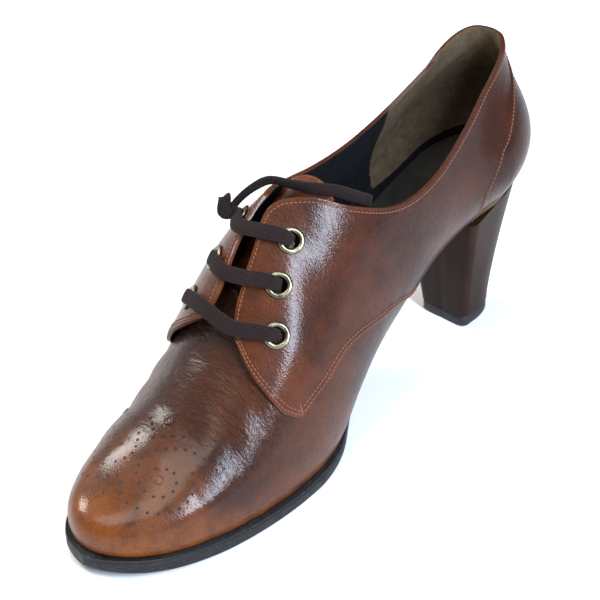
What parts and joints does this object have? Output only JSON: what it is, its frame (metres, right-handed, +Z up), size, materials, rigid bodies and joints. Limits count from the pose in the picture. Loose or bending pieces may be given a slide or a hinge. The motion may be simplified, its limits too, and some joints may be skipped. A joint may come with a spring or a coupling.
{
  "type": "heeled lace-up shoe",
  "caption": "Women's heeled lace-up shoe for the right foot: open-laced leather upper with tongue and eyelets, thin sole, covered block heel with tip, insole and flat lace.",
  "frame": {"origin": "centre of the shoe's outline in plan, on the floor", "axes": "+Y towards the heel and -Y towards the toe, +X towards the inner side of the right foot, +Z up"},
  "size_m": [0.0844, 0.2428, 0.1206],
  "materials": {
    "chestnut_leather": "glossy antiqued leather",
    "black_rubber": "matte",
    "dark_heel_cover": "satin",
    "charcoal_lining": "matte",
    "antique_brass": "aged",
    "brown_lace": "woven"
  },
  "bodies": {
    "root": {"upper": "chestnut_leather", "tongue": "chestnut_leather", "outsole": "black_rubber", "heel": "dark_heel_cover", "heel_tip": "black_rubber", "insole": "charcoal_lining", "eyelet_inner_1": "antique_brass", "eyelet_inner_2": "antique_brass", "eyelet_inner_3": "antique_brass", "eyelet_outer_1": "antique_brass", "eyelet_outer_2": "antique_brass", "eyelet_outer_3": "antique_brass", "lace_bar_low": "brown_lace", "lace_bar_middle": "brown_lace", "lace_bar_top": "brown_lace", "lace_tail": "brown_lace"}
  },
  "joints": []
}
